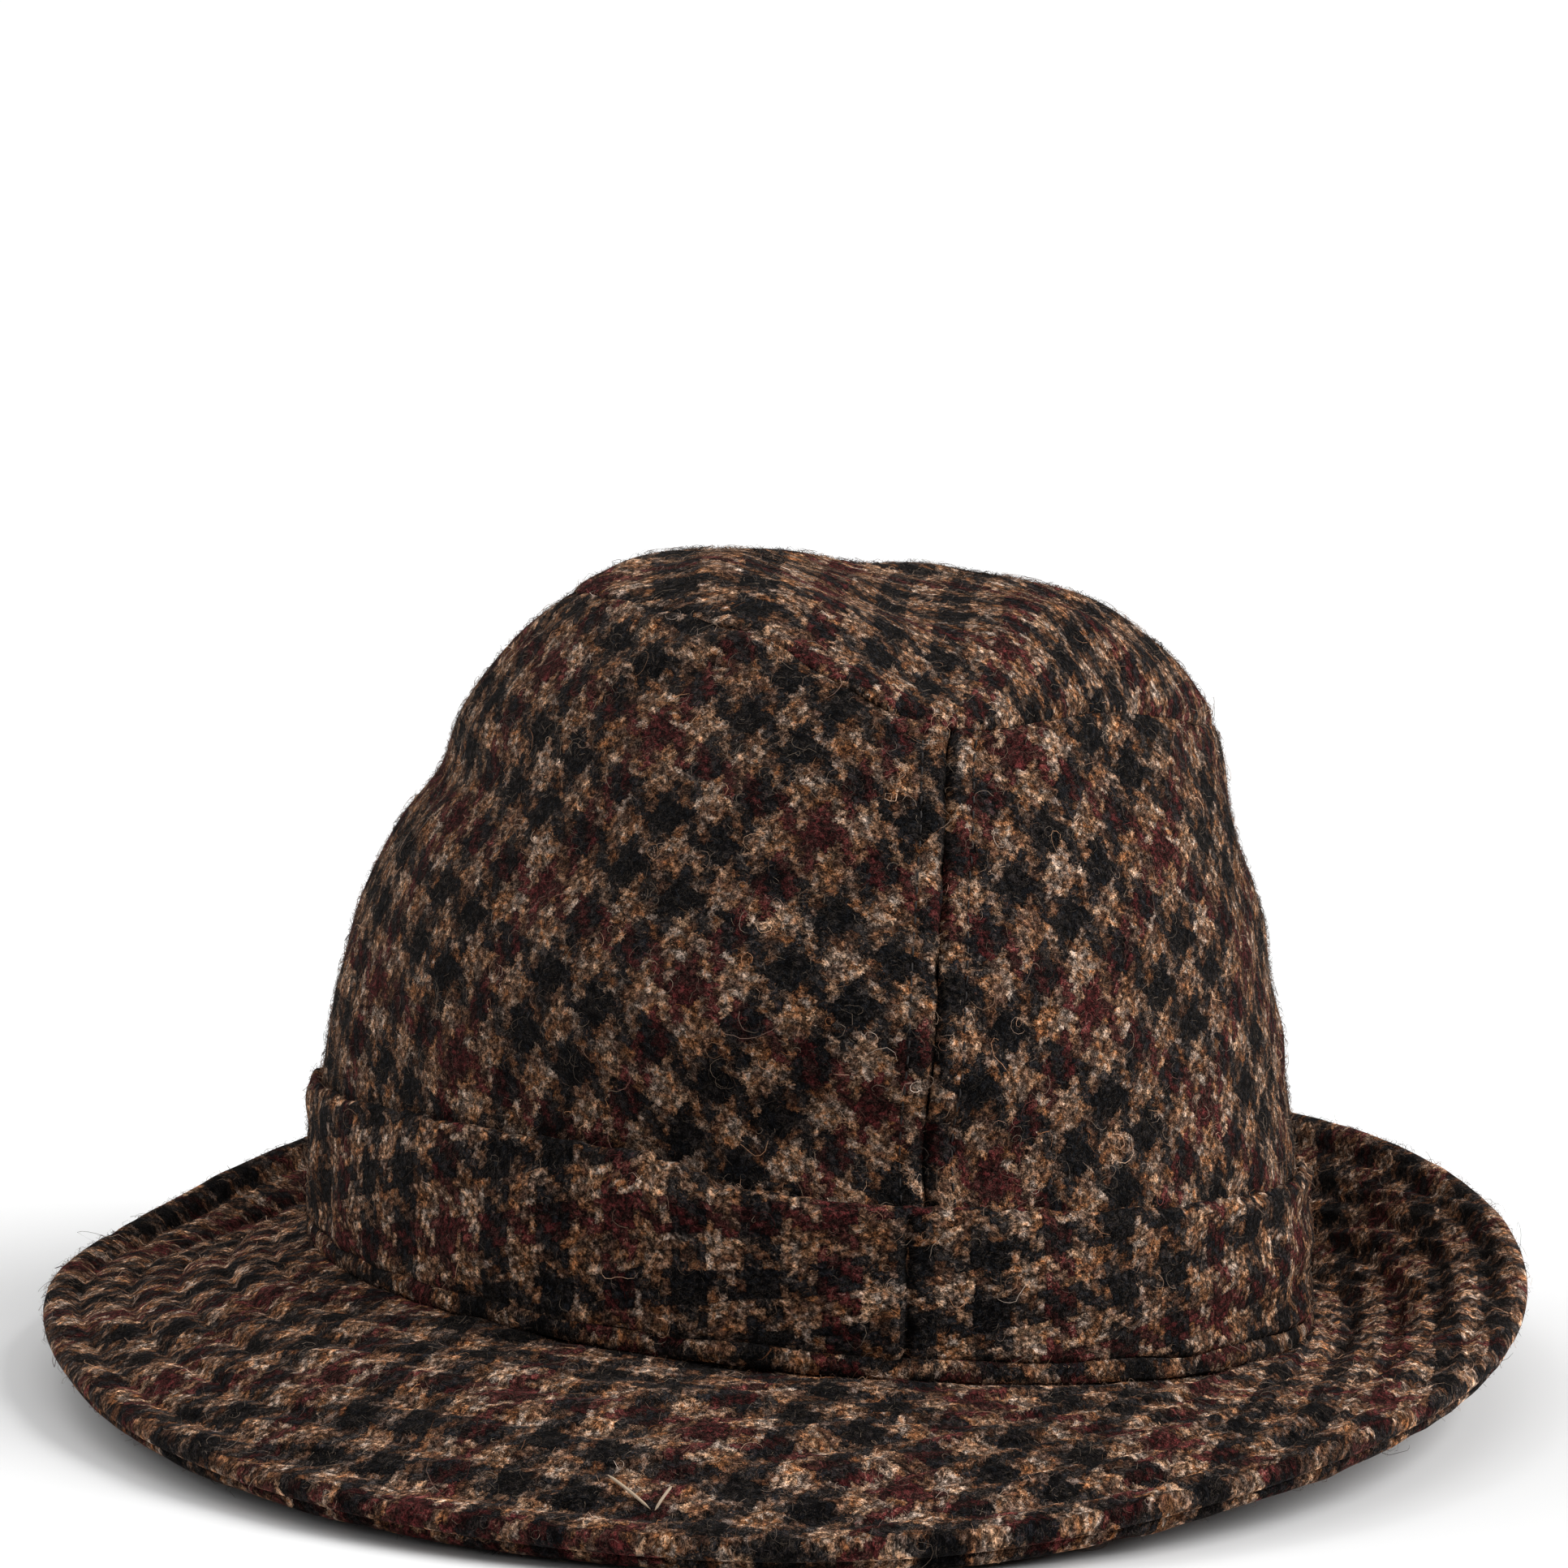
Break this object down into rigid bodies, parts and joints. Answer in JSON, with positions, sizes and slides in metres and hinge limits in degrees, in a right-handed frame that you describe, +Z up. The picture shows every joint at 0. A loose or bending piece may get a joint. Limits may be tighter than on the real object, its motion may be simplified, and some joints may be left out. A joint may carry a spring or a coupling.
{
  "type": "fedora",
  "caption": "Soft cut-and-sewn tweed fedora with a creased crown, a stepped self-cloth band, a narrow welt and a layered brim turned down in front and curled up behind.",
  "frame": {"origin": "on the surface that the hat rests on, under the middle of its box", "axes": "+Z up, -Y towards the front of the hat, +X towards the wearer's left"},
  "size_m": [0.258, 0.2916, 0.1412],
  "materials": {
    "crown_side_left": "fulled wool tweed, tan, burgundy and blue-black check, fuzzy",
    "crown_side_right": "fulled wool tweed, tan, burgundy and blue-black check, fuzzy",
    "crown_tip": "fulled wool tweed, tan, burgundy and blue-black check, fuzzy",
    "hat_band": "fulled wool tweed cut straight, fuzzy",
    "brim_welt": "folded tweed strip, topstitched",
    "brim_upper": "fulled wool tweed with stitched rings, fuzzy",
    "brim_under": "fulled wool tweed with stitched rings, fuzzy"
  },
  "bodies": {
    "root": {"crown_side_left": "crown_side_left", "crown_side_right": "crown_side_right", "crown_tip": "crown_tip", "hat_band": "hat_band", "brim_welt": "brim_welt", "brim_upper": "brim_upper", "brim_under": "brim_under"}
  },
  "joints": []
}
